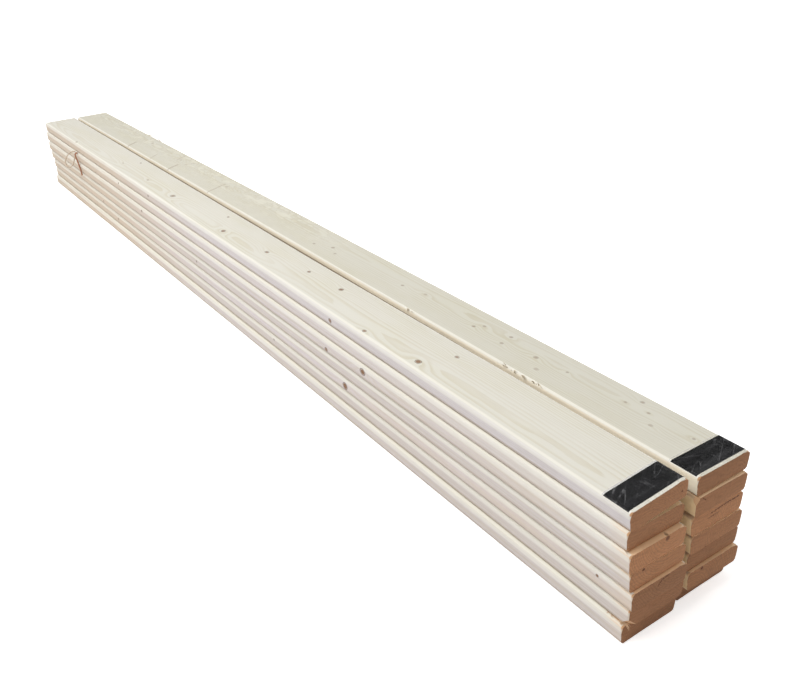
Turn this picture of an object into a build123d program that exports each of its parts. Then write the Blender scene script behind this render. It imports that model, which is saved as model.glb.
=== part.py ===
from build123d import *
import os
from math import atan2, degrees, pi, radians, sqrt, tan

# A loose bundle of planed pine studs: two columns of seven, laid flat side by side.
# X runs along the studs, with the labelled near end at +X. Y runs across the two columns and Z is up.
# The origin is at the middle of the bundle's footprint, on the floor.

# Driving dimensions in millimetres
stud_length = 2400.0
stud_width = 95.0
stud_thickness = 28.0
arris_radius = 6.0

# How far each stud's near end stands out past the left column's top stud, from the bottom row up
left_end_shift = (0.0, 6.0, 10.0, 6.0, 6.0, -1.0, 0.0)
right_end_shift = (-9.0, 6.0, 2.0, 5.0, 4.0, 5.0, 2.0)

# How far each stud lies off its column's line, sideways, from the bottom row up
left_side_shift = (1.0, 4.0, 2.0, 0.0, -3.0, -2.0, 0.0)
right_side_shift = (1.0, 0.0, 0.0, -1.0, -3.0, -1.0, 2.0)

# The right column touches the left one at its far end and opens towards the near end
column_opening = 8.0

# The left column's top stud has dried into a twist: its near end is rolled up on its lower left arris
roll_angle = 5.0
rolled_length = 60.0
twist_length = 800.0

# Corners knocked off near ends: how far each break runs back, across and up or down the stud
torn_corner = (30.0, 8.0, 10.0)
chipped_corner = (9.0, 9.0, 10.0)
frayed_corner = (5.0, 5.0, 9.0)

# Black labels stuck over the near end of both top studs, under clear film
label_length = 38.0
label_margin = 2.0
label_setback = 5.0
label_thickness = 0.25
film_overhang = 2.5
film_thickness = 0.1

# Strings caught near the far end between the left column's top two studs. A route's points run on from
# the place where the string leaves their seam: X along the studs, Y from the column's line, Z from the seam.
seat_clearance = 0.1
twine_diameter = 4.0
twine_setback = 2077.0
twine_route = (
    (1.0, -6.0, 0.8), (3.0, -9.2, -2.4), (5.5, -9.8, -8.0), (9.0, -8.6, -16.0),
    (13.0, -7.4, -26.0), (17.0, -6.6, -38.0), (22.0, -6.0, -50.0), (26.0, -6.6, -60.0),
)
loop_diameter = 3.0
loop_setback = 2098.0
loop_route = (
    (-1.5, -6.0, 0.8), (-3.5, -13.0, -0.8), (-4.5, -21.0, -5.5), (-4.0, -28.5, -13.0), (-2.0, -33.5, -22.5),
    (1.5, -35.0, -32.0), (6.0, -31.5, -39.0), (9.5, -24.5, -40.0), (11.0, -18.0, -34.5), (11.5, -13.5, -26.0),
    (12.0, -10.0, -17.0), (12.3, -7.0, -9.0), (12.2, -4.8, -3.5),
)
loop_return = 12.0
arc_share = 0.45

rows = len(left_end_shift)
top_row = rows - 1


def profile(proud=0.0):
    """A planed stud's cross-section, standing on Z = 0 with its left side on Y = 0, grown outwards by proud."""
    outline = RectangleRounded(stud_width + 2 * proud, stud_thickness + 2 * proud, arris_radius + proud)
    return Plane.YZ * Pos(stud_width / 2, stud_thickness / 2) * outline


def make_stud():
    """One stud with its near end on X = 0, reaching back along -X."""
    return extrude(profile(), -stud_length)


def rolled(shape, angle):
    """Roll a shape about the centre line of the stud's lower left arris, so that it still touches Z = 0."""
    return Pos(0, arris_radius, arris_radius) * Rot(angle, 0, 0) * Pos(0, -arris_radius, -arris_radius) * shape


def make_twisted_stud():
    """A stud whose near end is rolled, with the twist running out towards its far end."""
    twist_end = rolled_length + twist_length
    stations = ((0, roll_angle), (rolled_length, roll_angle), (twist_end, 0), (stud_length, 0))
    sections = [Pos(-back, 0, 0) * rolled(profile(), angle) for back, angle in stations]
    return loft(sections, ruled=True)


def knock_off(stud, side, edge, reach):
    """Break one corner off the near end. Side is -1 for left and edge is -1 for the lower edge, 1 for the other."""
    back, across, along = reach
    corner_y = stud_width if side > 0 else 0
    corner_z = stud_thickness if edge > 0 else 0
    broken = Plane(origin=(-back, corner_y, corner_z), z_dir=(1 / back, side / across, edge / along))
    return split(stud, bisect_by=broken, keep=Keep.BOTTOM)


def place_on_stack(piece, row, end_shift, side_shift):
    """Lay a piece at one row of a column."""
    return Pos(end_shift, side_shift, row * stud_thickness) * piece


def make_wrap(length, setback, proud, thickness):
    """A thin sheet over the top face near the near end, bent down onto both arrises and open below them."""
    band = profile(proud + thickness) - profile(proud)
    cover = Plane.YZ * Pos(stud_width / 2, stud_thickness) * Rectangle(stud_width - 2 * label_margin, stud_thickness)
    return Pos(-setback, 0, 0) * extrude(band & cover, -length)


def make_label():
    """The black label, stuck to the wood."""
    return make_wrap(label_length, label_setback, 0, label_thickness)


def make_film():
    """The clear film over a label, reaching a little past its long edges."""
    film_length = label_length + 2 * film_overhang
    return make_wrap(film_length, label_setback - film_overhang, label_thickness, film_thickness)


def seam_point(setback, diameter):
    """Where a string of this diameter sits in the groove between the left column's top two studs."""
    outer_side = min(left_side_shift[top_row - 1:])
    reach = arris_radius + diameter / 2 + seat_clearance
    depth = arris_radius - sqrt(reach ** 2 - arris_radius ** 2)
    return Vector(-setback, outer_side + depth, top_row * stud_thickness)


def make_string(start, route, diameter, end=None):
    """A round string from a seam point along a route of straight runs and tangent arcs."""
    corners = [start] + [Vector(start.X + x, y, start.Z + z) for x, y, z in route] + ([end] if end else [])
    radii = []
    for before, corner, after in zip(corners, corners[1:], corners[2:]):
        half_turn = radians((corner - before).get_angle(after - corner)) / 2
        shorter = min((corner - before).length, (after - corner).length)
        radii.append(arc_share * shorter / tan(half_turn))
    path = FilletPolyline(*corners, radius=radii)
    string = sweep(Plane(origin=path @ 0, z_dir=path % 0) * Circle(diameter / 2), path=path)
    drawn = path.length * pi * diameter ** 2 / 4
    print(f"string {diameter} mm: length {path.length:.1f}, volume {string.volume:.1f} of {drawn:.1f}")
    print("  arc radii", [round(radius, 1) for radius in radii])
    return string


def make_column(side):
    """The studs of one column with the label and film of its top stud, each with its row, by node name."""
    pieces = {f"{side}_stud_{row + 1}": (row, make_stud()) for row in range(rows)}
    pieces[f"{side}_label"] = (top_row, make_label())
    pieces[f"{side}_film"] = (top_row, make_film())
    return pieces


def place_column(pieces, end_shifts, side_shifts):
    """Lay the pieces of one column at their rows, each with its own small shift."""
    return {node: place_on_stack(piece, row, end_shifts[row], side_shifts[row])
            for node, (row, piece) in pieces.items()}


def swing_right_column(pieces):
    """Stand the right column against the left one at the far end, and turn it open towards the near end."""
    closest = max(left - right for left, right in zip(left_side_shift, right_side_shift))
    angle = degrees(atan2(column_opening, stud_length))
    far_corner = Pos(-stud_length, stud_width + closest, 0)
    return {node: far_corner * Rot(0, 0, angle) * Pos(stud_length, 0, 0) * piece
            for node, piece in pieces.items()}


def centre_on_floor(studs, strings):
    """Move every piece so that the studs' footprint is centred on the origin."""
    box = Compound(children=[Compound([piece.solid()]) for piece in studs.values()]).bounding_box()
    shift = Pos(-box.center().X, -box.center().Y, -box.min.Z)
    return {node: shift * piece for node, piece in {**studs, **strings}.items()}


left_pieces = make_column("left")
right_pieces = make_column("right")

left_pieces[f"left_stud_{rows}"] = (top_row, make_twisted_stud())
for node in ("left_label", "left_film"):
    left_pieces[node] = (top_row, rolled(left_pieces[node][1], roll_angle))

for pieces, node, side, edge, reach in (
    (left_pieces, "left_stud_2", -1, -1, torn_corner),
    (left_pieces, "left_stud_6", -1, -1, frayed_corner),
    (right_pieces, "right_stud_6", -1, 1, chipped_corner),
):
    row, stud = pieces[node]
    pieces[node] = (row, knock_off(stud, side, edge, reach))

left_column = place_column(left_pieces, left_end_shift, left_side_shift)
right_column = swing_right_column(place_column(right_pieces, right_end_shift, right_side_shift))

loop_start = seam_point(loop_setback, loop_diameter)
loop_end = seam_point(loop_setback - loop_return, loop_diameter)
strings = {
    "brown_twine": make_string(seam_point(twine_setback, twine_diameter), twine_route, twine_diameter),
    "pale_loop": make_string(loop_start, loop_route, loop_diameter, loop_end),
}
bundle = centre_on_floor({**left_column, **right_column}, strings)

os.makedirs("parts", exist_ok=True)
for node, piece in bundle.items():
    export_step(piece, f"parts/{node}.step")
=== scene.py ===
import math
import random

import bmesh
import bpy
from mathutils import Matrix, Vector


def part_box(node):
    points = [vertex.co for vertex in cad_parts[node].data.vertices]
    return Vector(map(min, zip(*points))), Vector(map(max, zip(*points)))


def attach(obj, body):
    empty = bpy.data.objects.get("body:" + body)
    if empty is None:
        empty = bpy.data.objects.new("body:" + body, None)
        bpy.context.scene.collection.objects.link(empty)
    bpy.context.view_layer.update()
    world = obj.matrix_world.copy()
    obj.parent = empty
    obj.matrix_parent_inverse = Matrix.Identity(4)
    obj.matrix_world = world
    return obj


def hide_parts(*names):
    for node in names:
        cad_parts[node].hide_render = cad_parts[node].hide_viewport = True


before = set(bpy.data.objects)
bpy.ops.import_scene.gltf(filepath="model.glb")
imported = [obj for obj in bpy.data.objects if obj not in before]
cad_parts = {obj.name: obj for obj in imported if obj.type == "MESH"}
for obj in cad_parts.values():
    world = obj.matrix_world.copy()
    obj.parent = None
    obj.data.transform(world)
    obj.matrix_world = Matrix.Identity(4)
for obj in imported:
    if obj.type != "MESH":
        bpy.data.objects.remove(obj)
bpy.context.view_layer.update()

# Sizes are in metres. The stack's own corner is the near end, left side and top of the left column,
# and the studs run back along -X from it.
STACK_CORNER = Vector((1.19966, -0.100503, 0.196))
STUD_LENGTH, STUD_WIDTH, STUD_THICKNESS = 2.4, 0.095, 0.028
ROWS = 7
ARRIS_RADIUS = 0.006
END_EASE = 0.0028

# How far apart the columns stand at the near end, the turn that this gives the right one, and about how far
# its sides drift for each metre back
COLUMN_OPENING = 0.008
YAW = math.atan2(COLUMN_OPENING, STUD_LENGTH)
YAW_SLOPE = 0.0033

# The left column's top stud: the roll of its near end, the length that keeps it, and the length where it runs out
TWIST = (math.radians(5), 0.06, 0.8)


def on_stack(x_mm, y_mm, z_mm):
    """A place given in millimetres from the stack's corner."""
    return STACK_CORNER + Vector((x_mm, y_mm, z_mm)) / 1000


def on_stud(back, across, below):
    """A place on one stud, given in millimetres back from its near end, in from its left side and below its top."""
    return -back / 1000, across / 1000, -below / 1000


# Camera, fitted to the photograph. Its focal length and centre are in pixels of the photograph's frame.
FRAME_WIDTH, FRAME_HEIGHT = 794, 690
FOCAL_LENGTH = 906.13
VIEW_CENTRE = (383.27, 307.66)
SENSOR_WIDTH = 36
CAMERA_PLACE = (533.9019, -648.9925, 646.74575)
CAMERA_TURN = ((0.553669, -0.334943, 0.762407), (0.831442, 0.2734, -0.483692), (-0.046433, 0.901702, 0.429858))


def add_camera():
    lens = bpy.data.cameras.new("photo_view")
    lens.sensor_width = SENSOR_WIDTH
    lens.lens = FOCAL_LENGTH / FRAME_WIDTH * SENSOR_WIDTH
    lens.shift_x = (FRAME_WIDTH / 2 - VIEW_CENTRE[0]) / FRAME_WIDTH
    lens.shift_y = (VIEW_CENTRE[1] - FRAME_HEIGHT / 2) / FRAME_WIDTH
    camera = bpy.data.objects.new("photo_view", lens)
    bpy.context.scene.collection.objects.link(camera)
    camera.matrix_world = Matrix.Translation(on_stack(*CAMERA_PLACE)) @ Matrix(CAMERA_TURN).to_4x4()
    bpy.context.scene.camera = camera


# Node helpers
# A Mix node has sockets for every kind of value. These are its factor, its two colours and its colour result.
MIX_FACTOR, MIX_FIRST, MIX_SECOND, MIX_RESULT = 0, 6, 7, 2


class Wiring:
    """Adds nodes to one material or node group and links them."""

    def __init__(self, tree):
        self.tree = tree

    def connect(self, value, socket):
        """Link another node's value to a socket, or write a plain number, place or colour into it."""
        if isinstance(value, bpy.types.NodeSocket):
            self.tree.links.new(value, socket)
        else:
            socket.default_value = value

    def feed(self, node, **inputs):
        """Connect values to a node's named inputs. An underscore stands for a space in a name."""
        for name, value in inputs.items():
            self.connect(value, node.inputs[name.replace("_", " ")])
        return node

    def add(self, kind, **inputs):
        return self.feed(self.tree.nodes.new(kind), **inputs)

    def use(self, group, **inputs):
        """Add a node group, and give back its outputs."""
        node = self.tree.nodes.new("ShaderNodeGroup")
        node.node_tree = group
        return self.feed(node, **inputs).outputs

    def math(self, operation, first, second=0.0, clamp=False):
        node = self.tree.nodes.new("ShaderNodeMath")
        node.operation, node.use_clamp = operation, clamp
        self.connect(first, node.inputs[0])
        self.connect(second, node.inputs[1])
        return node.outputs[0]

    def plus(self, first, *others):
        for other in others:
            first = self.math("ADD", first, other)
        return first

    def minus(self, first, second):
        return self.math("SUBTRACT", first, second)

    def times(self, first, *others):
        for other in others:
            first = self.math("MULTIPLY", first, other)
        return first

    def share(self, first, second):
        return self.math("DIVIDE", first, second)

    def larger(self, first, second):
        return self.math("MAXIMUM", first, second)

    def unsigned(self, value):
        return self.math("ABSOLUTE", value)

    def drift(self, noise, reach):
        """Noise as a movement to either side of zero."""
        return self.times(self.minus(noise, 0.5), reach)

    def vector(self, operation, first, second=None):
        node = self.tree.nodes.new("ShaderNodeVectorMath")
        node.operation = operation
        self.connect(first, node.inputs[0])
        if second is not None:
            self.connect(second, node.inputs[1])
        return node.outputs["Value" if operation in ("LENGTH", "DOT_PRODUCT") else "Vector"]

    def length(self, place):
        return self.vector("LENGTH", place)

    def stretch(self, place, scale):
        return self.vector("MULTIPLY", place, scale)

    def split(self, vector):
        return self.add("ShaderNodeSeparateXYZ", Vector=vector).outputs

    def join(self, x, y, z):
        return self.add("ShaderNodeCombineXYZ", X=x, Y=y, Z=z).outputs[0]

    def object_point(self):
        return self.add("ShaderNodeTexCoord").outputs["Object"]

    def ramp(self, value, low, high, to_low=0.0, to_high=1.0, kind="SMOOTHSTEP"):
        """A value that goes from to_low to to_high while the given one goes from low to high."""
        node = self.tree.nodes.new("ShaderNodeMapRange")
        node.interpolation_type = kind
        self.feed(node, Value=value, From_Min=low, From_Max=high, To_Min=to_low, To_Max=to_high)
        return node.outputs["Result"]

    def noise(self, place, scale, detail=2.0, roughness=0.5):
        """Noise with one scale, or with three where it is stretched."""
        if isinstance(scale, tuple):
            place, scale = self.stretch(place, scale), 1.0
        node = self.add("ShaderNodeTexNoise", Vector=place, Scale=scale, Detail=detail, Roughness=roughness)
        return node.outputs["Fac"]

    def mix(self, factor, first, second):
        """The first colour where the factor is 0 and the second where it is 1."""
        node = self.tree.nodes.new("ShaderNodeMix")
        node.data_type = "RGBA"
        for value, socket in ((factor, MIX_FACTOR), (first, MIX_FIRST), (second, MIX_SECOND)):
            self.connect(value, node.inputs[socket])
        return node.outputs[MIX_RESULT]

    def raise_surface(self, shader, height, strength, distance):
        bump = self.add("ShaderNodeBump", Height=height, Strength=strength, Distance=distance)
        self.feed(shader, Normal=bump.outputs[0])


def new_group(name, inputs, outputs):
    """An empty node group: its tree, wiring, inputs by name and outputs by name, which are all single numbers."""
    tree = bpy.data.node_groups.new(name, "ShaderNodeTree")
    for label, kind in inputs.items():
        tree.interface.new_socket(label, in_out="INPUT", socket_type="NodeSocket" + kind)
    for label in outputs:
        tree.interface.new_socket(label, in_out="OUTPUT", socket_type="NodeSocketFloat")
    return tree, Wiring(tree), tree.nodes.new("NodeGroupInput").outputs, tree.nodes.new("NodeGroupOutput").inputs


def new_material(name):
    """A new material, its wiring and its shader."""
    material = bpy.data.materials.new(name)
    material.use_nodes = True
    return material, Wiring(material.node_tree), material.node_tree.nodes["Principled BSDF"]


def linear(part):
    """One part of a screen colour, 0 to 255, as the amount of light that it stands for."""
    return part / 255 / 12.92 if part <= 10 else ((part / 255 + 0.055) / 1.055) ** 2.4


def colour(red, green, blue):
    """A colour written as it looks on screen, 0 to 255."""
    return linear(red), linear(green), linear(blue), 1.0


def shifted(tone, change):
    """A screen tone with something added to each of its parts."""
    return colour(*(part + more for part, more in zip(tone, change)))


def darkened(tone, share):
    """A share of a screen tone."""
    return colour(*(share * part for part in tone))


# Wood effects that every stud's material uses
def make_knot_group():
    """One knot: its dark heart, the ring round it, and how far it pushes the grain aside."""
    tree, w, given, out = new_group(
        "knot", {"Point": "Vector", "Centre": "Vector", "Run": "Vector", "Size": "Float"}, ("Heart", "Ring", "Bend"))
    size = given["Size"]
    oval = w.stretch(w.vector("SUBTRACT", given["Point"], given["Centre"]), given["Run"])
    wobble = w.noise(w.stretch(given["Point"], (1, 1, 0.2)), 160.0)
    far = w.plus(w.length(oval), w.drift(wobble, w.times(size, 0.7)))
    share = w.share(far, size)
    w.connect(w.ramp(share, 1.05, 0.6), out["Heart"])
    w.connect(w.times(w.ramp(share, 0.8, 1.0), w.ramp(share, 1.25, 1.05)), out["Ring"])
    wide = w.share(w.length(w.stretch(oval, (0.5, 1.0, 1.0))), w.times(size, 2.6))
    fade = w.math("EXPONENT", w.times(wide, wide, -1.0))
    w.connect(w.times(fade, size), out["Bend"])
    return tree


def make_ring_group():
    """Growth rings round a pith that lies along the board, as they show on any face."""
    tree, w, given, out = new_group(
        "growth rings", {"Point": "Vector", "Ring Width": "Float", "Wander": "Float", "Bend": "Float"},
        ("Late", "Fibre", "Band"))
    point = given["Point"]
    drift_y = w.drift(w.noise(point, (1.3, 0.4, 0.4)), given["Wander"])
    elsewhere = w.vector("ADD", w.stretch(point, (1.1, 0.4, 0.4)), (7, 3, 5))
    drift_z = w.drift(w.noise(elsewhere, 1.0), given["Wander"])
    _, y, z = w.split(point)
    radius = w.length(w.join(0.0, w.plus(y, drift_y), w.plus(z, drift_z)))
    fine = w.drift(w.noise(point, (6, 60, 60), 3.0), 0.0026)
    radius = w.plus(radius, fine, given["Bend"])
    uneven = w.drift(w.noise(w.join(w.times(radius, 60.0), 0.0, 0.0), 1.0, 1.0), 0.012)
    turn = w.math("FRACT", w.share(w.plus(radius, uneven), given["Ring Width"]))
    w.connect(w.times(w.ramp(turn, 0.35, 0.86), w.ramp(turn, 1.0, 0.92)), out["Late"])
    w.connect(w.noise(point, (9, 900, 900), 3.0, 0.6), out["Fibre"])
    w.connect(w.noise(point, (5, 22, 22), 3.0, 0.55), out["Band"])
    return tree


def make_face_group():
    """Which part of a stud a point is on, by the way it faces: a sawn end, a side, an arris or a torn corner."""
    tree, w, given, out = new_group(
        "stud faces", {"Normal": "Vector"}, ("End", "Side", "Arris", "Torn", "Left", "Under"))
    x, y, z = w.split(given["Normal"])
    w.connect(w.ramp(w.unsigned(x), 0.74, 0.9), out["End"])
    upright = w.unsigned(y)
    w.connect(w.ramp(upright, 0.7, 0.95), out["Side"])
    w.connect(w.times(w.ramp(upright, 0.1, 0.4), w.ramp(upright, 0.95, 0.7)), out["Arris"])
    w.connect(w.ramp(y, -0.7, -0.95), out["Left"])
    w.connect(w.times(w.ramp(z, -0.25, -0.7), w.ramp(upright, 0.2, 0.5)), out["Under"])
    slanting = w.unsigned(w.times(y, z, x))
    w.connect(w.ramp(slanting, 0.07, 0.11), out["Torn"])
    return tree


def make_crack_group():
    """A fine ragged crack along a straight run: 1 inside it and 0 away from it."""
    tree, w, given, out = new_group(
        "crack", {"Point": "Vector", "Start": "Vector", "Finish": "Vector", "Width": "Float"}, ("Open",))
    along = w.vector("SUBTRACT", given["Finish"], given["Start"])
    apart = w.vector("SUBTRACT", given["Point"], given["Start"])
    reach = w.vector("DOT_PRODUCT", along, along)
    share = w.math("DIVIDE", w.vector("DOT_PRODUCT", apart, along), reach, clamp=True)
    away = w.length(w.vector("SUBTRACT", apart, w.stretch(along, w.join(share, share, share))))
    ragged = w.times(w.minus(w.noise(given["Point"], 420.0, 3.0, 0.7), 0.45), 0.0075)
    away = w.plus(away, w.unsigned(ragged))
    broken = w.ramp(w.noise(given["Point"], 650.0, 2.0, 0.6), 0.4, 0.52)
    opened = w.ramp(away, given["Width"], w.times(given["Width"], 0.35))
    w.connect(w.times(opened, broken), out["Open"])
    return tree


RINGS, KNOT, FACES, CRACK = make_ring_group(), make_knot_group(), make_face_group(), make_crack_group()

# Screen tones of the planed wood's details, and of the light and shade painted on it
# A painted highlight on the arrises that face the light
ARRIS_HIGHLIGHT = (249, 246, 236)
# Painted shade on the arrises of the lower right studs, which lie in the gap and under the rows above
ARRIS_IN_SHADE = (178, 136, 100)
SIDE_STREAK = colour(178, 166, 160)
SIDE_MOTTLE = colour(206, 197, 192)
FAR_SIDE = colour(214, 195, 169)
# Painted shadow along the seams between the rows
SEAM_SHADOW = colour(172, 146, 126)
GAP_SHADOW = colour(126, 100, 76)
# Painted highlights on the crinkles of the rough strip, and painted shade along its crease lines
CREASE_HIGHLIGHT, CREASE_SHADOW = colour(244, 240, 220), colour(184, 172, 138)
# Painted shade on the lower arrises, which face down
UNDER_ARRIS_SHADOW = colour(138, 112, 94)
TORN_WOOD = colour(206, 160, 120)
# Painted warm light on the tops of the lower studs near their ends
END_STRIP_LIGHT = colour(244, 202, 156)
TOP_MARK = colour(150, 126, 96)
KNOT_HEART, KNOT_RING = colour(134, 97, 66), colour(90, 60, 42)
SAWN_KNOT, SAWN_CRACK = colour(82, 50, 36), colour(48, 28, 20)

# What is added to a stud's own tone for its late wood, warm bands and dark fibres, and the cool cast of sky light
# painted on its upright sides
LATE_WOOD, WARM_BAND, DARK_FIBRE, SIDE_SKYLIGHT_CAST = (-22, -29, -44), (-5, -6, -20), (-60, -70, -80), (-6, -9, 4)

# How a knot's oval is stretched where it shows in a sawn end, in a side and in the top
KNOT_IN_END, KNOT_IN_SIDE, KNOT_IN_TOP = (0.3, 0.8, 1.0), (0.8, 0.35, 1.0), (0.8, 1.0, 0.35)
# A knot's size in mm over this is its radius in metres, before the oval is stretched
KNOT_SIZE_PER_RADIUS = 1600


def wire_knots(w, point, knots):
    """How far all knots together bend the grain, and where their hearts and rings are."""
    bend, heart, ring = 0.0, 0.0, 0.0
    for back, across, below, size, darkness in knots:
        run = KNOT_IN_END if not back else KNOT_IN_SIDE if below else KNOT_IN_TOP
        knot = w.use(KNOT, Point=point, Centre=on_stud(back, across, below), Run=run,
                     Size=size / KNOT_SIZE_PER_RADIUS)
        bend = w.plus(bend, knot["Bend"])
        heart = w.larger(heart, w.times(knot["Heart"], darkness))
        ring = w.larger(ring, w.times(knot["Ring"], darkness))
    return bend, heart, ring


def wire_cracks(w, point, cracks):
    """Where any crack is open. A crack is its two ends, as on_stud gives them, and its width in mm."""
    opened = 0.0
    for start, finish, width in cracks:
        crack = w.use(CRACK, Point=point, Start=start, Finish=finish, Width=width / 1000)
        opened = w.larger(opened, crack["Open"])
    return opened


def top_colour(w, grain, tone):
    """Planed wood with late-wood lines, warm bands and dark fibres."""
    lines = w.times(grain["Late"], w.ramp(grain["Band"], 0.3, 0.75, 0.2, 0.6))
    wood = w.mix(lines, colour(*tone), shifted(tone, LATE_WOOD))
    wood = w.mix(w.ramp(grain["Band"], 0.4, 0.75, 0.0, 0.22), wood, shifted(tone, WARM_BAND))
    return w.mix(w.ramp(grain["Fibre"], 0.52, 0.8, 0.0, 0.16), wood, shifted(tone, DARK_FIBRE))


def side_colour(w, grain, point, back, tone, painted_arris_light, side_tint):
    """An upright side: painted with a cool grey cast of sky light, more streaked, browner far back, with a painted
    highlight at its upper edge and painted shadow at its lower one.
    """
    wood = w.mix(w.times(grain["Late"], 0.3), shifted(tone, SIDE_SKYLIGHT_CAST), shifted(tone, LATE_WOOD))
    wood = w.mix(w.ramp(grain["Fibre"], 0.46, 0.76, 0.0, 0.42), wood, SIDE_STREAK)
    wood = w.mix(w.ramp(back, 1.1, 1.9, 0.0, 0.85), wood, FAR_SIDE)
    mottle = w.noise(point, (90, 400, 400), 3.0, 0.6)
    wood = w.mix(w.ramp(mottle, 0.42, 0.68, 0.0, 0.3), wood, SIDE_MOTTLE)
    if side_tint:
        patch = w.times(w.ramp(back, 0.9, 0.1, 0.0, 0.6), w.ramp(grain["Band"], 0.3, 0.7, 0.35, 1.0))
        wood = w.mix(patch, wood, colour(*side_tint))
    height = w.split(point)[2]
    # Painted highlight along the side's upper edge, next to the arris, and painted shadow along its lower edge at the
    # seam
    wood = w.mix(w.ramp(height, -0.0115, -0.007, 0.0, 0.6), wood, colour(*painted_arris_light))
    return w.mix(w.ramp(height, -0.0195, -0.0235, 0.0, 0.5), wood, SEAM_SHADOW)


def gap_shadow_share(w, point, normal, back):
    """How much painted shadow lies on a left side that goes down into the gap between the columns."""
    lit_depth = w.ramp(back, 0.1, 2.0, 0.0105, 0.0068, "LINEAR")
    deep = w.ramp(w.plus(w.split(point)[2], lit_depth), 0.0, -0.001)
    facing_left = w.ramp(w.split(normal)[1], -0.2, -0.5)
    return w.times(deep, facing_left, w.ramp(back, 0.02, 0.07))


def wire_creases(w, point, back, side):
    """Where the rough strip is along the far half of a stud's right-hand edge, and the creases in it."""
    from_left = w.plus(w.split(point)[1], w.times(back, YAW_SLOPE))
    strip = w.times(w.ramp(back, 0.75, 1.15), w.ramp(from_left, 0.02, 0.075, 0.25, 1.0), w.minus(1.0, side))
    return strip, w.noise(point, (26, 60, 60), 3.0, 0.55)


def end_light_share(w, grain, face, back, lit_end_length):
    """How strongly the wood near the end is painted a light tan, as warm light falling on it, less so on its sides
    and arrises.
    """
    uneven_back = w.plus(back, w.drift(grain["Band"], 0.02))
    edges = w.larger(face["Side"], w.times(face["Arris"], 0.85))
    return w.times(w.ramp(uneven_back, lit_end_length, lit_end_length * 0.2), w.minus(1.0, w.times(edges, 0.9)))


def sawn_colour(w, grain, tone, speck, streak, heart, crack):
    """A sawn end with faint rings, darker streaks and specks, knots and cracks."""
    wood = w.mix(w.times(grain["Late"], 0.6), colour(*tone), darkened(tone, 0.86))
    wood = w.mix(w.ramp(streak, 0.35, 0.75, 0.0, 0.5), wood, darkened(tone, 0.8))
    wood = w.mix(w.ramp(speck, 0.45, 0.8, 0.0, 0.45), wood, darkened(tone, 0.68))
    wood = w.mix(w.times(heart, 0.8), wood, SAWN_KNOT)
    return w.mix(w.times(crack, 0.9), wood, SAWN_CRACK)


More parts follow.
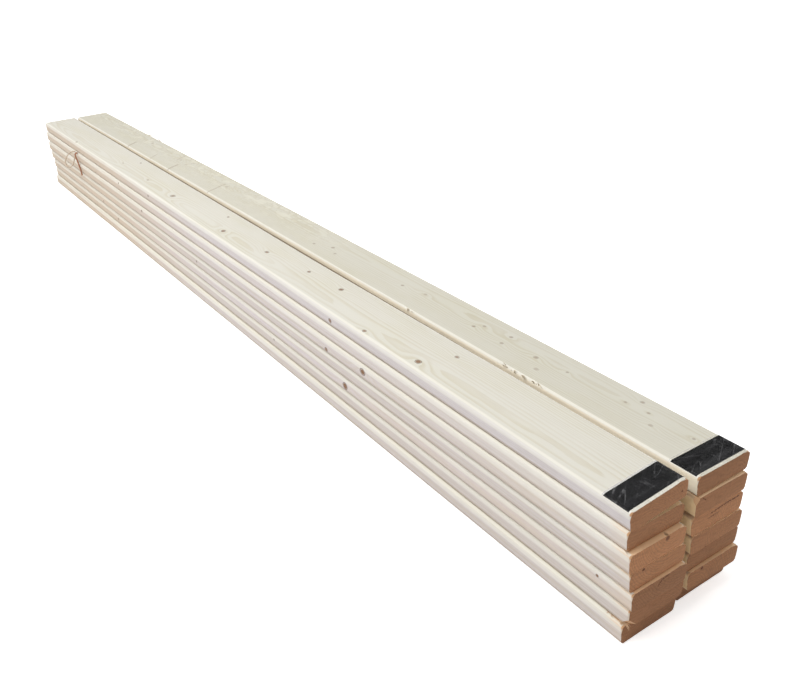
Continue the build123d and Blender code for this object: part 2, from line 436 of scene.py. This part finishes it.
def pine(name, corner, pith, ring_width, wander, tone, sawn_tone, knots, cracks, top_marks, lit_end_length, gap_side_light,
         side_tint, painted_arris_light, creased):
    """Pale planed pine with its own growth rings and brown sawn ends. Corner is the near end's upper left one.

    The pith is in mm from the left side and above the top, and the rings' width and wander are in mm.
    Knots are (mm from near end, mm from left side, mm below top, size in mm, darkness).
    Cracks in the near end are (mm from left side, mm below top, the same for the other end, width in mm).
    Top marks are (mm from near end, mm from left side, the same for the other end, width in mm).
    The wood is painted a light tan over the last lit_end_length metres, as warm light falling on those strips.
    gap_side_light is the tone of a left side that lies in the gap, painted brighter and warmer so that it looks lit,
    and side_tint that of a side near its end. A creased stud has a rough strip along its right-hand edge, with
    painted highlights and painted shade on its crinkles.
    """
    material, w, shader = new_material(name)
    place = w.add("ShaderNodeTexCoord").outputs
    point = w.vector("SUBTRACT", place["Object"], tuple(corner))
    back = w.times(w.split(point)[0], -1.0)
    face = w.use(FACES, Normal=place["Normal"])

    bend, heart, ring = wire_knots(w, point, knots)
    crack = wire_cracks(w, point, [(on_stud(0, *run[:2]), on_stud(0, *run[2:4]), run[4]) for run in cracks])
    mark = wire_cracks(w, point, [(on_stud(*run[:2], 0), on_stud(*run[2:4], 0), run[4]) for run in top_marks])
    from_pith = w.vector("SUBTRACT", point, (0.0, pith[0] / 1000, pith[1] / 1000))
    grain = w.use(RINGS, Point=from_pith, Ring_Width=ring_width / 1000, Wander=wander / 1000, Bend=bend)

    # Painted highlight on the arrises; the lower right studs get painted shade there instead
    planed = w.mix(w.times(face["Arris"], 0.75), top_colour(w, grain, tone), colour(*painted_arris_light))
    planed = w.mix(face["Side"], planed, side_colour(w, grain, point, back, tone, painted_arris_light, side_tint))
    if gap_side_light:
        # Painted light on the left side that lies in the gap
        planed = w.mix(face["Left"], planed, colour(*gap_side_light))
        # Painted shadow at the bottom of the gap
        planed = w.mix(w.times(gap_shadow_share(w, point, place["Normal"], back), 0.7), planed, GAP_SHADOW)
    if creased:
        strip, crease = wire_creases(w, point, back, face["Side"])
        ridge = w.ramp(w.unsigned(w.minus(crease, 0.5)), 0.045, 0.0)
        # Painted highlights on the crinkles and painted shade along the crease lines
        planed = w.mix(w.times(strip, w.ramp(crease, 0.35, 0.72, 0.0, 0.3)), planed, CREASE_HIGHLIGHT)
        planed = w.mix(w.times(ridge, 0.3, strip), planed, CREASE_SHADOW)
    # Painted shade on the lower arris
    planed = w.mix(w.times(face["Under"], 0.6), planed, UNDER_ARRIS_SHADOW)
    planed = w.mix(face["Torn"], planed, TORN_WOOD)
    if lit_end_length:
        # Painted warm light near the end
        planed = w.mix(w.times(end_light_share(w, grain, face, back, lit_end_length), 0.9), planed, END_STRIP_LIGHT)
    planed = w.mix(w.times(mark, 0.6), planed, TOP_MARK)
    planed = w.mix(heart, planed, KNOT_HEART)
    planed = w.mix(w.times(ring, 0.75), planed, KNOT_RING)

    speck = w.noise(point, (300, 300, 300), 3.0, 0.65)
    streak = w.noise(point, (40, 60, 420), 3.0, 0.6)
    sawn = sawn_colour(w, grain, sawn_tone, speck, streak, heart, crack)
    rough = w.ramp(grain["Late"], 0.0, 1.0, 0.62, 0.5, "LINEAR")
    w.feed(shader, Base_Color=w.mix(face["End"], planed, sawn), Roughness=w.plus(rough, w.times(face["End"], 0.3)),
           Specular_IOR_Level=0.3)

    height = w.plus(w.times(grain["Fibre"], 0.5), w.times(grain["Late"], 0.35))
    height = w.plus(height, w.times(w.plus(speck, streak), face["End"], 2.4))
    height = w.minus(height, w.times(crack, 2.0))
    if creased:
        height = w.plus(height, w.times(strip, crease, 6.0))
    w.raise_surface(shader, height, 0.4, 0.0006)
    return material


# Knots, cracks, marks and tones of single studs, as they show in the photograph
TOP_LEFT_KNOTS = [
    (2090, 6, 0, 5, 0.7), (1779, 36, 0, 4, 0.5), (1746, 72, 0, 4, 0.8), (1587, 32, 0, 4, 0.7), (1424, 32, 0, 9, 0.7),
    (1130, 25, 0, 7, 0.9), (1203, 70, 0, 4, 0.8), (965, 42, 0, 6, 0.8), (826, 57, 0, 5, 0.8), (719, 61, 0, 6, 0.9),
    (561, 8, 0, 5, 0.8), (426, 16, 0, 7, 0.9), (398, 66, 0, 5, 0.7), (656, 0, 16, 6, 0.9), (1505, 0, 13, 4, 0.9),
    (0, 84, 8, 2.4, 1.0),
]
TOP_RIGHT_KNOTS = [
    (946, 26, 0, 4, 0.45), (903, 44, 0, 5, 0.5), (874, 31, 0, 4, 0.4), (669, 46, 0, 4, 0.5), (613, 55, 0, 4, 0.3),
    (468, 43, 0, 4, 0.55), (457, 56, 0, 4, 0.45), (403, 64, 0, 4, 0.5), (397, 40, 0, 4, 0.45), (332, 50, 0, 5, 0.5),
    (306, 27, 0, 5, 0.3), (272, 55, 0, 3, 0.45), (153, 76, 0, 4, 0.5), (167, 59, 0, 3, 0.45), (130, 62, 0, 3, 0.45),
    (109, 42, 0, 4, 0.35), (56, 60, 0, 3, 0.45), (1700, 55, 0, 6, 0.25), (1920, 60, 0, 6, 0.3), (1405, 50, 0, 6, 0.3),
]
KNOTS = {
    "left_stud_7": TOP_LEFT_KNOTS,
    "left_stud_6": [(1722, -1, 6, 4, 0.8)],
    "left_stud_5": [(562, -3, 12, 9, 1.0), (678, -3, 20, 6, 0.9), (1570, -3, 10, 5, 0.9), (0, 62, 4, 6, 0.9)],
    "left_stud_4": [(0, 22, 3, 4, 1.0), (1250, 0, 14, 4, 0.7)],
    "left_stud_3": [(635, 2, 16, 9, 1.0), (1917, 2, 18, 4, 0.8), (55, 2, 10, 3, 1.0)],
    "left_stud_2": [(1808, 4, 14, 5, 0.8), (900, 4, 10, 4, 0.7)],
    "right_stud_2": [(0, 25, 3, 4, 1.0)],
    "right_stud_3": [(0, 32, 3, 2.5, 0.9)],
    "right_stud_7": TOP_RIGHT_KNOTS,
}
CRACKS = {
    "left_stud_3": [(44, 9, 50, 3, 2.0), (50, 3, 62, 1, 1.8)],
    "right_stud_5": [(36, 7, 60, 5, 2.2), (60, 5, 86, 5, 2.6), (30, 13, 50, 12, 1.6)],
    "right_stud_6": [(12, 3, 18, 8, 1.4)],
    "left_stud_6": [(20, 20, 46, 18, 0.6)],
}
TOP_MARKS = {
    "right_stud_7": [
        (1931, -16, 1966, 28, 5), (1640, -10, 1666, 33, 5), (1395, -10, 1427, 56, 3.5),
        (1772, -3, 1797, 26, 2.5), (1708, 47, 1729, 78, 3), (1653, 47, 1644, 68, 3),
    ],
}
SIDE_TINTS = {
    "left_stud_3": (222, 204, 178), "left_stud_5": (226, 214, 196), "left_stud_6": (228, 221, 208),
}

# The sawn ends' tone, and the share of it that each stud's end has
SAWN_TONE = (192, 138, 100)
SAWN_SHADES = {
    "left_stud_7": 1.0, "left_stud_6": 0.98, "left_stud_5": 1.1, "left_stud_4": 1.05, "left_stud_3": 0.9,
    "left_stud_2": 0.93, "left_stud_1": 0.9, "right_stud_7": 0.93, "right_stud_6": 0.98, "right_stud_5": 1.08,
    "right_stud_4": 1.0, "right_stud_3": 0.93, "right_stud_2": 0.98, "right_stud_1": 0.88,
}

# Painted light on the left sides that lie in the gap between the columns, brightened and warmed so that they look
# lit: the top stud's and the others'
TOP_GAP_SIDE_LIGHT, LOWER_GAP_SIDE_LIGHT = (240, 230, 208), (252, 222, 176)
# How far back the painted warm light reaches on the lower studs, in metres
LIT_END_LENGTH = 0.035

# The grain of the studs on which it can be read from the photograph
SEEN_GRAIN = {
    "left_stud_7": {"pith": (26, -44), "ring_width": 2.6, "wander": 22, "tone": (227, 224, 213)},
    "right_stud_7": {"pith": (62, -40), "ring_width": 2.5, "wander": 18, "tone": (217, 214, 201)},
    "right_stud_4": {"pith": (66, -12)},
}


# Boards
# A board is cut across at these distances from its near end, so that it can be rolled and made uneven
CUTS = [0.02, 0.06] + [0.1 * n for n in range(1, 24)]

# How far the planed faces wander, and how near an end they are flat
UNEVENNESS, FLAT_END = 0.00025, 0.15
SMOOTH_ANGLE = math.radians(32)

# Points this close to a place count as being there
NEARBY = 0.001


def choose(mesh, kind, wanted):
    """In edit mode, select only those "edges" or "verts" of a mesh whose ends' places are wanted."""
    work = bmesh.from_edit_mesh(mesh)
    for part in (work.faces, work.edges, work.verts):
        for item in part:
            item.select = False
    for item in getattr(work, kind):
        ends = item.verts if kind == "edges" else [item]
        item.select = wanted(*[end.co for end in ends])
    work.select_flush_mode()
    bmesh.update_edit_mesh(mesh)


def roll_near_end(board, corner, roll, kept, run):
    """Roll a board's near end about its lower left arris in steps, so that the roll runs out towards the far end."""
    pivot = (corner.x, corner.y + ARRIS_RADIUS, corner.z + ARRIS_RADIUS)
    stations = [0.1 * n for n in range(9, 0, -1)] + [kept]
    for near, far in zip(stations[1:], stations):
        share = (min(far, kept + run) - max(near, kept)) / run
        choose(board.data, "verts", lambda place: place.x > corner.x - near - NEARBY)
        bpy.ops.transform.rotate(value=-roll * share, orient_axis="X", center_override=pivot)


def plane_board(name, corner, seed, breaks=(), twist=None):
    """A planed board with rounded arrises, its near end, left side and underside at corner."""
    bpy.ops.object.select_all(action="DESELECT")
    middle = corner + Vector((-STUD_LENGTH, STUD_WIDTH, STUD_THICKNESS)) / 2
    bpy.ops.mesh.primitive_cube_add(size=1, location=middle, scale=(STUD_LENGTH, STUD_WIDTH, STUD_THICKNESS))
    board = bpy.context.active_object
    board.name = name
    bpy.ops.object.transform_apply(location=True, rotation=True, scale=True)
    bpy.ops.object.mode_set(mode="EDIT")

    bpy.ops.mesh.select_mode(type="EDGE")
    choose(board.data, "edges", lambda start, end: abs(start.x - end.x) > STUD_LENGTH / 2)
    bpy.ops.mesh.bevel(offset=ARRIS_RADIUS, offset_type="OFFSET", segments=6, profile=0.5, affect="EDGES")
    for back in CUTS:
        bpy.ops.mesh.select_all(action="SELECT")
        bpy.ops.mesh.bisect(plane_co=(corner.x - back, 0, 0), plane_no=(1, 0, 0))

    bpy.ops.mesh.select_mode(type="VERT")
    for place, facing in breaks:
        bpy.ops.mesh.select_all(action="SELECT")
        bpy.ops.mesh.bisect(plane_co=corner + Vector(place), plane_no=facing, use_fill=True, clear_outer=True)
    near_face = corner.x - 0.0001
    choose(board.data, "edges", lambda start, end: start.x > near_face and end.x > near_face)
    bpy.ops.mesh.bevel(offset=END_EASE, offset_type="OFFSET", segments=3, profile=0.5, affect="EDGES")

    if twist:
        roll_near_end(board, corner, *twist)
    choose(board.data, "verts", lambda place: -FLAT_END > place.x - corner.x > FLAT_END - STUD_LENGTH)
    bpy.ops.transform.vertex_random(offset=UNEVENNESS, uniform=0.0, normal=1.0, seed=seed)
    bpy.ops.object.mode_set(mode="OBJECT")
    bpy.ops.object.shade_smooth_by_angle(angle=SMOOTH_ANGLE)
    return board


def broken_corner(side, edge, back, across, along):
    """Where a near corner is knocked off: a point of the break and the way it faces.

    Side is -1 for left and edge is -1 for the lower edge, 1 for the upper one.
    """
    place = (-back, STUD_WIDTH if side > 0 else 0, STUD_THICKNESS if edge > 0 else 0)
    return place, (1 / back, side / across, edge / along)


BREAKS = {
    "left_stud_2": [broken_corner(-1, -1, 0.014, 0.005, 0.008)],
    "left_stud_6": [broken_corner(-1, -1, 0.005, 0.005, 0.009)],
    "right_stud_6": [broken_corner(-1, 1, 0.009, 0.009, 0.010)],
}


def add_board(node, seed):
    """The detailed board that stands for a stud, where that stud is, and its near end's lower left corner."""
    low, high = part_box(node)
    if node == "left_stud_7":
        corner = STACK_CORNER - Vector((0, 0, STUD_THICKNESS))
        return plane_board(node + "_board", corner, seed, twist=TWIST), corner
    right = node.startswith("right")
    corner = Vector((high.x, high.y - STUD_WIDTH if right else low.y, low.z))
    board = plane_board(node + "_board", corner, seed, BREAKS.get(node, ()))
    if right:
        about = Matrix.Translation(corner)
        board.matrix_world = about @ Matrix.Rotation(YAW, 4, "Z") @ about.inverted()
        bpy.ops.object.select_all(action="DESELECT")
        board.select_set(True)
        bpy.context.view_layer.objects.active = board
        bpy.ops.object.transform_apply(location=True, rotation=True, scale=True)
    return board, corner


def give(piece, material):
    """Leave a piece with this material alone."""
    piece.data.materials.clear()
    piece.data.materials.append(material)
    for face in piece.data.polygons:
        face.material_index = 0


def finish_in_wood(piece, wood):
    give(piece, wood)
    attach(piece, "root")


def dress_studs():
    """A detailed board for every stud, each with its own wood. The grain that isn't seen is drawn by chance."""
    chance = random.Random(28)
    for side in ("left", "right"):
        for row in range(1, ROWS + 1):
            node = f"{side}_stud_{row}"
            board, corner = add_board(node, chance.randrange(1000))
            corner = corner + Vector((0, 0, STUD_THICKNESS))
            pith = (chance.uniform(5, 90), chance.choice((-1, 1)) * chance.uniform(18, 55) - 14)
            ring_width, wander = chance.uniform(2.4, 3.6), chance.uniform(14, 28)
            warm = chance.uniform(-5, 4)
            grain = {"pith": pith, "ring_width": ring_width, "wander": wander,
                     "tone": (228 + warm, 223 + warm, 208 + 1.6 * warm)}
            grain.update(SEEN_GRAIN.get(node, {}))
            top_row, in_gap = row == ROWS, side == "right"
            wood = pine(
                "pine_" + node, corner, sawn_tone=[part * SAWN_SHADES[node] for part in SAWN_TONE],
                knots=KNOTS.get(node, ()), cracks=CRACKS.get(node, ()), top_marks=TOP_MARKS.get(node, ()),
                lit_end_length=0.0 if top_row else LIT_END_LENGTH,
                gap_side_light=(TOP_GAP_SIDE_LIGHT if top_row else LOWER_GAP_SIDE_LIGHT) if in_gap else None,
                side_tint=SIDE_TINTS.get(node), painted_arris_light=ARRIS_IN_SHADE if in_gap and not top_row else ARRIS_HIGHLIGHT,
                creased=node == "right_stud_7", **grain)
            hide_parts(node)
            finish_in_wood(board, wood)


# Torn wood
def sliver(root, tip, thick):
    """One thin torn fibre that narrows from root to tip and sags a little at two places on the way."""
    run = tip - root
    bpy.ops.mesh.primitive_cone_add(vertices=6, radius1=thick / 2, radius2=thick / 9, depth=run.length,
                                    location=(root + tip) / 2, rotation=run.to_track_quat("Z", "Y").to_euler())
    piece = bpy.context.active_object
    bpy.ops.object.transform_apply(location=True, rotation=True, scale=True)
    bpy.ops.object.mode_set(mode="EDIT")
    for share in (0.35, 0.7):
        bpy.ops.mesh.select_all(action="SELECT")
        bpy.ops.mesh.bisect(plane_co=root + run * share, plane_no=run)
        bpy.ops.transform.translate(value=(0, thick * (0.3 - share) * 0.5, -thick * share * 0.6))
    bpy.ops.object.mode_set(mode="OBJECT")
    return piece


def add_slivers(name, wood, slivers):
    """Several slivers as one piece. A sliver is (root, tip, thickness)."""
    pieces = []
    for root, tip, thick in slivers:
        bpy.ops.object.select_all(action="DESELECT")
        pieces.append(sliver(root, tip, thick))
    for piece in pieces:
        piece.select_set(True)
    bpy.context.view_layer.objects.active = pieces[0]
    bpy.ops.object.join()
    joined = bpy.context.active_object
    joined.name = name
    finish_in_wood(joined, wood)


def torn_fibres(name, wood, origin, spread, lean, count, length, seed):
    """Fibres that stand off a stud. Their roots lie in a box of size spread at origin, and they lean one way."""
    chance = random.Random(seed)
    slivers = []
    for _ in range(count):
        root = origin + Vector([part * chance.uniform(0, 1) for part in spread])
        stray = Vector([chance.uniform(-0.25, 0.25) for _ in range(3)])
        tip = root + (Vector(lean) + stray).normalized() * length * chance.uniform(0.4, 1.0)
        slivers.append((root, tip, chance.uniform(0.0005, 0.0011)))
    add_slivers(name, wood, slivers)


def add_torn_fibres(wood):
    """Fibres at the two torn corners of the left column, and along the seam beside the lower one."""
    low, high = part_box("left_stud_2")
    torn = Vector((high.x - 0.016, low.y + 0.0008, low.z + 0.001))
    torn_fibres("lower_left_torn_fibres", wood, torn, (0.012, 0.003, 0.006), (1.0, -0.2, -0.25), 34, 0.008, 3)
    seam = Vector((high.x - 0.034, low.y + 0.003, low.z + 0.0015))
    torn_fibres("lower_seam_fibres", wood, seam, (0.028, 0.001, 0.003), (0.25, -1.0, -0.35), 46, 0.0055, 8)
    low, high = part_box("left_stud_6")
    frayed = Vector((high.x - 0.007, low.y + 0.0008, low.z + 0.003))
    torn_fibres("upper_left_torn_fibres", wood, frayed, (0.004, 0.003, 0.008), (1.0, -0.15, -0.1), 12, 0.007, 5)


# Where the left arris of the right column's top stud is chipped, in mm from its near end
CHIPPED_PLACES = (579, 334, 297, 280)
CHIPS_PER_PLACE = 6


def add_arris_chips(wood):
    """Small torn chips along the left arris of the right column's top stud."""
    chance = random.Random(41)
    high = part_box("right_stud_7")[1]
    slivers = []
    for back in CHIPPED_PLACES:
        for _ in range(CHIPS_PER_PLACE):
            along = back / 1000 + chance.uniform(-0.012, 0.012)
            side = high.y - STUD_WIDTH - along * math.sin(YAW)
            across, below = chance.uniform(0.0015, 0.004), chance.uniform(0.0005, 0.002)
            root = Vector((high.x - along, side + across, high.z - below))
            lean = Vector((chance.uniform(-1, 1), chance.uniform(-0.6, -0.1), chance.uniform(0.1, 0.5))).normalized()
            slivers.append((root, root + lean * chance.uniform(0.005, 0.011), chance.uniform(0.0012, 0.0024)))
    add_slivers("arris_chips", wood, slivers)


def add_splinter(wood):
    """A long splinter that has lifted off the right-hand arris of the right column's top stud."""
    start, end = on_stack(-2034.2, 192.7, -2), on_stack(-1911.7, 193.1, -2)
    crown = (start * 0.45 + end * 0.55) + Vector((0, 0.006, 0.0075))
    beside = start + Vector((0.006, 0.001, 0))
    add_slivers("lifted_splinter", wood, [(start, crown, 0.0035), (end, crown, 0.0028), (beside, crown, 0.002)])


# Labels and the film over them
# How far behind the near end the film's edge and the fold just inside it carry a painted glint
FILM_EDGE, FILM_FOLD = 0.0453, 0.0437


def label_black():
    material, w, shader = new_material("label_black")
    creases = w.noise(w.object_point(), (240, 14, 14), 3.0, 0.6)
    # The lighter grey along the creases is painted sheen on the wrinkled gloss black
    base = w.mix(w.ramp(creases, 0.45, 0.75, 0.0, 0.6), colour(9, 9, 10), colour(38, 37, 40))
    w.feed(shader, Base_Color=base, Roughness=w.ramp(creases, 0.3, 0.7, 0.35, 0.55), Specular_IOR_Level=0.08,
           Coat_Weight=0.12, Coat_Roughness=0.14)
    w.raise_surface(shader, creases, 0.3, 0.0008)
    return material


def film_clear():
    """Clear film that shows only by painted reflection: a painted glint along its edge, painted light along slanting
    folds and faint painted streaks of sheen.
    """
    material, w, shader = new_material("film_clear")
    place = w.object_point()
    creases = w.noise(place, (60, 12, 12), 3.0, 0.6)
    along = w.split(w.vector("SUBTRACT", place, (STACK_CORNER.x, 0, 0)))[0]
    rim = w.larger(w.ramp(w.unsigned(w.plus(along, FILM_EDGE)), 0.0011, 0.0004),
                   w.ramp(w.unsigned(w.plus(along, FILM_FOLD)), 0.0009, 0.0003))
    streaks = w.noise(place, (55, 130, 20))
    slant = w.vector("ADD", place, w.join(w.times(w.split(place)[1], 0.6), 0.0, 0.0))
    folds = w.noise(slant, (62, 9, 5), 0.0, 0.4)
    fold_line = w.ramp(w.unsigned(w.minus(folds, 0.52)), 0.03, 0.004)
    # The film's white, laid in by alpha, is painted reflection
    alpha = w.plus(w.ramp(creases, 0.5, 0.75, 0.008, 0.04), w.ramp(streaks, 0.6, 0.72, 0.0, 0.04),
                   w.times(fold_line, w.ramp(streaks, 0.4, 0.65, 0.01, 0.09)), w.times(rim, 0.3))
    w.feed(shader, Base_Color=w.mix(creases, colour(226, 226, 230), colour(246, 246, 248)), Alpha=alpha,
           Roughness=0.12, Specular_IOR_Level=0.2)
    w.raise_surface(shader, creases, 0.4, 0.001)
    return material


# Strings
# A route's points run on from where the string leaves the seam: X along the studs, Y and Z from the stack's corner
# and the start, all in mm
TWINE_START = (-2077.0, -1.44, -28.0)
TWINE_ROUTE = (
    (1.0, -6.0, 0.8), (3.0, -9.2, -2.4), (5.5, -9.8, -8.0), (9.0, -8.6, -16.0),
    (13.0, -7.4, -26.0), (17.0, -6.6, -38.0), (22.0, -6.0, -50.0), (26.0, -6.6, -60.0),
)
LOOP_START, LOOP_END = (-2098.0, -0.66, -28.0), (-2086.0, -0.66, -28.0)
LOOP_ROUTE = (
    (-1.5, -6.0, 0.8), (-3.5, -13.0, -0.8), (-4.5, -21.0, -5.5), (-4.0, -28.5, -13.0), (-2.0, -33.5, -22.5),
    (1.5, -35.0, -32.0), (6.0, -31.5, -39.0), (9.5, -24.5, -40.0), (11.0, -18.0, -34.5), (11.5, -13.5, -26.0),
    (12.0, -10.0, -17.0), (12.3, -7.0, -9.0), (12.2, -4.8, -3.5),
)


def route_of(start, route, end=None):
    """All the places that a string passes."""
    places = [start] + [(start[0] + x, y, start[2] + z) for x, y, z in route] + ([end] if end else [])
    return [on_stack(*place) for place in places]


def add_string(name, route, diameter, material):
    """A round string whose middle line is one smooth spline."""
    line = bpy.data.curves.new(name, "CURVE")
    line.dimensions = "3D"
    line.bevel_depth = diameter / 2
    line.bevel_resolution = 3
    line.resolution_u = 8
    line.use_fill_caps = True
    spline = line.splines.new("NURBS")
    spline.points.add(len(route) - 1)
    for point, place in zip(spline.points, route):
        point.co = (*place, 1.0)
    spline.order_u = 3
    spline.use_endpoint_u = True
    string = bpy.data.objects.new(name, line)
    bpy.context.scene.collection.objects.link(string)
    string.data.materials.append(material)
    return string


def fibre(name, light, dark, roughness):
    """String or torn wood: fine fibres of two colours."""
    material, w, shader = new_material(name)
    strands = w.noise(w.object_point(), 900.0, 3.0, 0.7)
    w.feed(shader, Base_Color=w.mix(w.ramp(strands, 0.3, 0.7), light, dark), Roughness=roughness)
    w.raise_surface(shader, strands, 0.6, 0.0006)
    return material


def add_strings():
    twine_route = route_of(TWINE_START, TWINE_ROUTE)
    twine_brown = fibre("twine_brown", colour(196, 142, 110), colour(132, 80, 58), 0.85)
    twine = add_string("brown_twine_fibres", twine_route, 0.004, twine_brown)
    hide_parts("brown_twine")
    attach(twine, "root")

    loop_route = route_of(LOOP_START, LOOP_ROUTE, LOOP_END)
    string_pale = fibre("string_pale", colour(228, 214, 194), colour(178, 150, 124), 0.45)
    loop = add_string("pale_loop_string", loop_route, 0.003, string_pale)
    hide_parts("pale_loop")
    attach(loop, "root")


# Floor and light
# The floor lies a hair below the studs, so that the two faces don't flicker
FLOOR_SIZE, FLOOR_DROP = 24, 0.0004


def add_floor():
    """A white floor that keeps the stack's shadow and glows a little more far away, so that no horizon shows."""
    bpy.ops.object.select_all(action="DESELECT")
    bpy.ops.mesh.primitive_plane_add(size=FLOOR_SIZE, location=(0, 0, -FLOOR_DROP))
    floor = bpy.context.active_object
    floor.name = "floor"
    material, w, shader = new_material("floor_white")
    seen = w.add("ShaderNodeLightPath").outputs
    seen_directly = w.math("ADD", seen["Is Camera Ray"], seen["Is Glossy Ray"], clamp=True)
    glow = w.ramp(w.length(w.object_point()), 1.5, 6.0, 0.62, 0.85)
    w.feed(shader, Base_Color=(0.9, 0.9, 0.9, 1), Roughness=0.9, Emission_Color=(1, 1, 1, 1),
           Emission_Strength=w.times(seen_directly, glow))
    floor.data.materials.append(material)


# What the lights shine at: the middle of the stack
AIM = Vector((0, 0, 0.1))


def add_area_light(name, place, size, size_y, power, tint=(1.0, 1.0, 1.0)):
    lamp = bpy.data.lights.new(name, "AREA")
    lamp.shape, lamp.size, lamp.size_y, lamp.energy, lamp.color = "RECTANGLE", size, size_y, power, tint
    light = bpy.data.objects.new(name, lamp)
    bpy.context.scene.collection.objects.link(light)
    light.location = place
    light.rotation_mode = "QUATERNION"
    light.rotation_quaternion = (AIM - Vector(place)).to_track_quat("-Z", "Y")


def add_lights():
    """Three soft area lights in a dim room that looks white where it is seen or mirrored."""
    add_area_light("window", (-0.2, -2.2, 3.9), 3.6, 1.6, 146, (1.0, 0.99, 0.975))
    add_area_light("ceiling", (0.0, 0.6, 4.2), 3.0, 2.0, 18)
    add_area_light("far_wall", (1.2, 3.3, 1.8), 3.0, 1.6, 34)
    world = bpy.data.worlds.new("room")
    bpy.context.scene.world = world
    world.use_nodes = True
    w = Wiring(world.node_tree)
    seen = w.add("ShaderNodeLightPath").outputs
    clear = w.larger(seen["Is Camera Ray"], w.larger(seen["Is Glossy Ray"], seen["Is Transmission Ray"]))
    w.feed(world.node_tree.nodes["Background"], Color=(0.985, 0.99, 1.0, 1),
           Strength=w.ramp(clear, 0.0, 1.0, 0.26, 1.0, "LINEAR"))


add_camera()
add_strings()
dress_studs()
torn_wood = fibre("torn_wood", colour(236, 210, 176), colour(190, 150, 112), 0.7)
split_wood = fibre("split_wood", colour(242, 236, 220), colour(206, 188, 158), 0.6)
add_torn_fibres(torn_wood)
add_splinter(split_wood)
add_arris_chips(split_wood)
black, clear = label_black(), film_clear()
for side in ("left", "right"):
    give(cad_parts[side + "_label"], black)
    give(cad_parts[side + "_film"], clear)
add_floor()
add_lights()
bpy.context.scene.view_settings.view_transform = "Standard"
